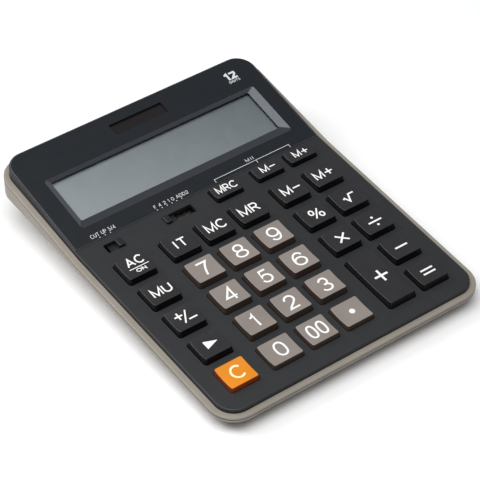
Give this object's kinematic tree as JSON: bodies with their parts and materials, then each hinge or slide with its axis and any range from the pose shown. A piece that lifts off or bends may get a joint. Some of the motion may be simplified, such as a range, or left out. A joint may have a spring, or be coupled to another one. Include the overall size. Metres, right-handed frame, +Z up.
{
  "type": "desk calculator",
  "caption": "Wedge-shaped desk calculator with a raised display section, recessed display window, small solar window, sprung keys and two slide switches.",
  "frame": {"origin": "centre of the footprint, on the surface the rubber feet stand on", "axes": "+X to the right seen from the user, +Y away from the user towards the display, +Z up"},
  "size_m": [0.153, 0.192, 0.0336],
  "materials": {
    "black_housing": "fine matt texture, charcoal",
    "black_panel": "smooth satin, near black",
    "taupe_case": "satin bronze-taupe with a metallic paint look",
    "black_key": "fine matt",
    "taupe_key": "satin top, darker walls",
    "orange_key": "satin",
    "black_knob": "matt",
    "clear_lens": "clear acrylic",
    "lcd": "grey-green blank liquid crystal display",
    "white_plastic": "plain moulding",
    "solar": "dark brown amorphous cell",
    "board": "tan paper laminate",
    "epoxy": "black resin",
    "board_parts": "small components",
    "ribbon": "thin printed film",
    "wire": "insulated wire",
    "spring_brass": "spring leaf",
    "steel": "plain",
    "rubber_black": "matt",
    "rubber_grey": "silicone",
    "label": "blank film"
  },
  "bodies": {
    "housing": {"battery_door": "taupe_case", "board_parts": "board_parts", "bottom_case": "taupe_case", "button_cell": "steel", "case_screws": "steel", "chip_cover": "epoxy", "contact_negative": "spring_brass", "contact_positive": "spring_brass", "display_panel": "black_panel", "display_ribbon": "ribbon", "door_screw": "steel", "inner_screws": "steel", "lcd_frame": "white_plastic", "lcd_glass": "lcd", "lcd_lens": "clear_lens", "main_board": "board", "rating_label": "label", "rubber_feet": "rubber_black", "rubber_sheet": "rubber_grey", "solar_cell": "solar", "solar_window": "clear_lens", "solar_wires": "wire", "top_cover": "black_housing"},
    "key_0": {"key_0": "taupe_key"},
    "key_00": {"key_00": "taupe_key"},
    "key_1": {"key_1": "taupe_key"},
    "key_2": {"key_2": "taupe_key"},
    "key_3": {"key_3": "taupe_key"},
    "key_4": {"key_4": "taupe_key"},
    "key_5": {"key_5": "taupe_key"},
    "key_6": {"key_6": "taupe_key"},
    "key_7": {"key_7": "taupe_key"},
    "key_8": {"key_8": "taupe_key"},
    "key_9": {"key_9": "taupe_key"},
    "key_all_clear": {"key_all_clear": "black_key"},
    "key_backspace": {"key_backspace": "black_key"},
    "key_clear": {"key_clear": "orange_key"},
    "key_divide": {"key_divide": "black_key"},
    "key_equals": {"key_equals": "black_key"},
    "key_item_count": {"key_item_count": "black_key"},
    "key_markup": {"key_markup": "black_key"},
    "key_memory_clear": {"key_memory_clear": "black_key"},
    "key_memory_minus": {"key_memory_minus": "black_key"},
    "key_memory_plus": {"key_memory_plus": "black_key"},
    "key_memory_recall": {"key_memory_recall": "black_key"},
    "key_minus": {"key_minus": "black_key"},
    "key_multiply": {"key_multiply": "black_key"},
    "key_percent": {"key_percent": "black_key"},
    "key_plus": {"key_plus": "black_key"},
    "key_point": {"key_point": "taupe_key"},
    "key_root": {"key_root": "black_key"},
    "key_second_minus": {"key_second_minus": "black_key"},
    "key_second_plus": {"key_second_plus": "black_key"},
    "key_second_recall": {"key_second_recall": "black_key"},
    "key_sign": {"key_sign": "black_key"},
    "rounding_switch": {"rounding_switch": "black_knob", "rounding_wiper": "spring_brass"},
    "decimal_switch": {"decimal_switch": "black_knob", "decimal_wiper": "spring_brass"}
  },
  "joints": [
    {"name": "key_0_press", "type": "slide", "parent": "housing", "child": "key_0", "axis": [0, 0.0715, -0.9974], "range_m": [0, 0.0014], "stiffness_N_per_m": 350, "springref_m": -0.0009},
    {"name": "key_00_press", "type": "slide", "parent": "housing", "child": "key_00", "axis": [0, 0.0715, -0.9974], "range_m": [0, 0.0014], "stiffness_N_per_m": 350, "springref_m": -0.0009},
    {"name": "key_1_press", "type": "slide", "parent": "housing", "child": "key_1", "axis": [0, 0.0715, -0.9974], "range_m": [0, 0.0014], "stiffness_N_per_m": 350, "springref_m": -0.0009},
    {"name": "key_2_press", "type": "slide", "parent": "housing", "child": "key_2", "axis": [0, 0.0715, -0.9974], "range_m": [0, 0.0014], "stiffness_N_per_m": 350, "springref_m": -0.0009},
    {"name": "key_3_press", "type": "slide", "parent": "housing", "child": "key_3", "axis": [0, 0.0715, -0.9974], "range_m": [0, 0.0014], "stiffness_N_per_m": 350, "springref_m": -0.0009},
    {"name": "key_4_press", "type": "slide", "parent": "housing", "child": "key_4", "axis": [0, 0.0715, -0.9974], "range_m": [0, 0.0014], "stiffness_N_per_m": 350, "springref_m": -0.0009},
    {"name": "key_5_press", "type": "slide", "parent": "housing", "child": "key_5", "axis": [0, 0.0715, -0.9974], "range_m": [0, 0.0014], "stiffness_N_per_m": 350, "springref_m": -0.0009, "deforming": ["rubber_sheet"]},
    {"name": "key_6_press", "type": "slide", "parent": "housing", "child": "key_6", "axis": [0, 0.0715, -0.9974], "range_m": [0, 0.0014], "stiffness_N_per_m": 350, "springref_m": -0.0009},
    {"name": "key_7_press", "type": "slide", "parent": "housing", "child": "key_7", "axis": [0, 0.0715, -0.9974], "range_m": [0, 0.0014], "stiffness_N_per_m": 350, "springref_m": -0.0009},
    {"name": "key_8_press", "type": "slide", "parent": "housing", "child": "key_8", "axis": [0, 0.0715, -0.9974], "range_m": [0, 0.0014], "stiffness_N_per_m": 350, "springref_m": -0.0009},
    {"name": "key_9_press", "type": "slide", "parent": "housing", "child": "key_9", "axis": [0, 0.0715, -0.9974], "range_m": [0, 0.0014], "stiffness_N_per_m": 350, "springref_m": -0.0009},
    {"name": "key_all_clear_press", "type": "slide", "parent": "housing", "child": "key_all_clear", "axis": [0, 0.0715, -0.9974], "range_m": [0, 0.0014], "stiffness_N_per_m": 350, "springref_m": -0.0009},
    {"name": "key_backspace_press", "type": "slide", "parent": "housing", "child": "key_backspace", "axis": [0, 0.0715, -0.9974], "range_m": [0, 0.0014], "stiffness_N_per_m": 350, "springref_m": -0.0009},
    {"name": "key_clear_press", "type": "slide", "parent": "housing", "child": "key_clear", "axis": [0, 0.0715, -0.9974], "range_m": [0, 0.0014], "stiffness_N_per_m": 350, "springref_m": -0.0009},
    {"name": "key_divide_press", "type": "slide", "parent": "housing", "child": "key_divide", "axis": [0, 0.0715, -0.9974], "range_m": [0, 0.0014], "stiffness_N_per_m": 350, "springref_m": -0.0009},
    {"name": "key_equals_press", "type": "slide", "parent": "housing", "child": "key_equals", "axis": [0, 0.0715, -0.9974], "range_m": [0, 0.0014], "stiffness_N_per_m": 350, "springref_m": -0.0009},
    {"name": "key_item_count_press", "type": "slide", "parent": "housing", "child": "key_item_count", "axis": [0, 0.0715, -0.9974], "range_m": [0, 0.0014], "stiffness_N_per_m": 350, "springref_m": -0.0009},
    {"name": "key_markup_press", "type": "slide", "parent": "housing", "child": "key_markup", "axis": [0, 0.0715, -0.9974], "range_m": [0, 0.0014], "stiffness_N_per_m": 350, "springref_m": -0.0009},
    {"name": "key_memory_clear_press", "type": "slide", "parent": "housing", "child": "key_memory_clear", "axis": [0, 0.0715, -0.9974], "range_m": [0, 0.0014], "stiffness_N_per_m": 350, "springref_m": -0.0009},
    {"name": "key_memory_minus_press", "type": "slide", "parent": "housing", "child": "key_memory_minus", "axis": [0, 0.0715, -0.9974], "range_m": [0, 0.0014], "stiffness_N_per_m": 350, "springref_m": -0.0009},
    {"name": "key_memory_plus_press", "type": "slide", "parent": "housing", "child": "key_memory_plus", "axis": [0, 0.0715, -0.9974], "range_m": [0, 0.0014], "stiffness_N_per_m": 350, "springref_m": -0.0009},
    {"name": "key_memory_recall_press", "type": "slide", "parent": "housing", "child": "key_memory_recall", "axis": [0, 0.0715, -0.9974], "range_m": [0, 0.0014], "stiffness_N_per_m": 350, "springref_m": -0.0009},
    {"name": "key_minus_press", "type": "slide", "parent": "housing", "child": "key_minus", "axis": [0, 0.0715, -0.9974], "range_m": [0, 0.0014], "stiffness_N_per_m": 350, "springref_m": -0.0009},
    {"name": "key_multiply_press", "type": "slide", "parent": "housing", "child": "key_multiply", "axis": [0, 0.0715, -0.9974], "range_m": [0, 0.0014], "stiffness_N_per_m": 350, "springref_m": -0.0009},
    {"name": "key_percent_press", "type": "slide", "parent": "housing", "child": "key_percent", "axis": [0, 0.0715, -0.9974], "range_m": [0, 0.0014], "stiffness_N_per_m": 350, "springref_m": -0.0009},
    {"name": "key_plus_press", "type": "slide", "parent": "housing", "child": "key_plus", "axis": [0, 0.0715, -0.9974], "range_m": [0, 0.0014], "stiffness_N_per_m": 350, "springref_m": -0.0009},
    {"name": "key_point_press", "type": "slide", "parent": "housing", "child": "key_point", "axis": [0, 0.0715, -0.9974], "range_m": [0, 0.0014], "stiffness_N_per_m": 350, "springref_m": -0.0009},
    {"name": "key_root_press", "type": "slide", "parent": "housing", "child": "key_root", "axis": [0, 0.0715, -0.9974], "range_m": [0, 0.0014], "stiffness_N_per_m": 350, "springref_m": -0.0009},
    {"name": "key_second_minus_press", "type": "slide", "parent": "housing", "child": "key_second_minus", "axis": [0, 0.0715, -0.9974], "range_m": [0, 0.0014], "stiffness_N_per_m": 350, "springref_m": -0.0009},
    {"name": "key_second_plus_press", "type": "slide", "parent": "housing", "child": "key_second_plus", "axis": [0, 0.0715, -0.9974], "range_m": [0, 0.0014], "stiffness_N_per_m": 350, "springref_m": -0.0009},
    {"name": "key_second_recall_press", "type": "slide", "parent": "housing", "child": "key_second_recall", "axis": [0, 0.0715, -0.9974], "range_m": [0, 0.0014], "stiffness_N_per_m": 350, "springref_m": -0.0009},
    {"name": "key_sign_press", "type": "slide", "parent": "housing", "child": "key_sign", "axis": [0, 0.0715, -0.9974], "range_m": [0, 0.0014], "stiffness_N_per_m": 350, "springref_m": -0.0009},
    {"name": "rounding_switch_slide", "type": "slide", "parent": "housing", "child": "rounding_switch", "axis": [1, 0, 0], "range_m": [-0.0062, 0]},
    {"name": "decimal_switch_slide", "type": "slide", "parent": "housing", "child": "decimal_switch", "axis": [1, 0, 0], "range_m": [0, 0.0138]}
  ]
}
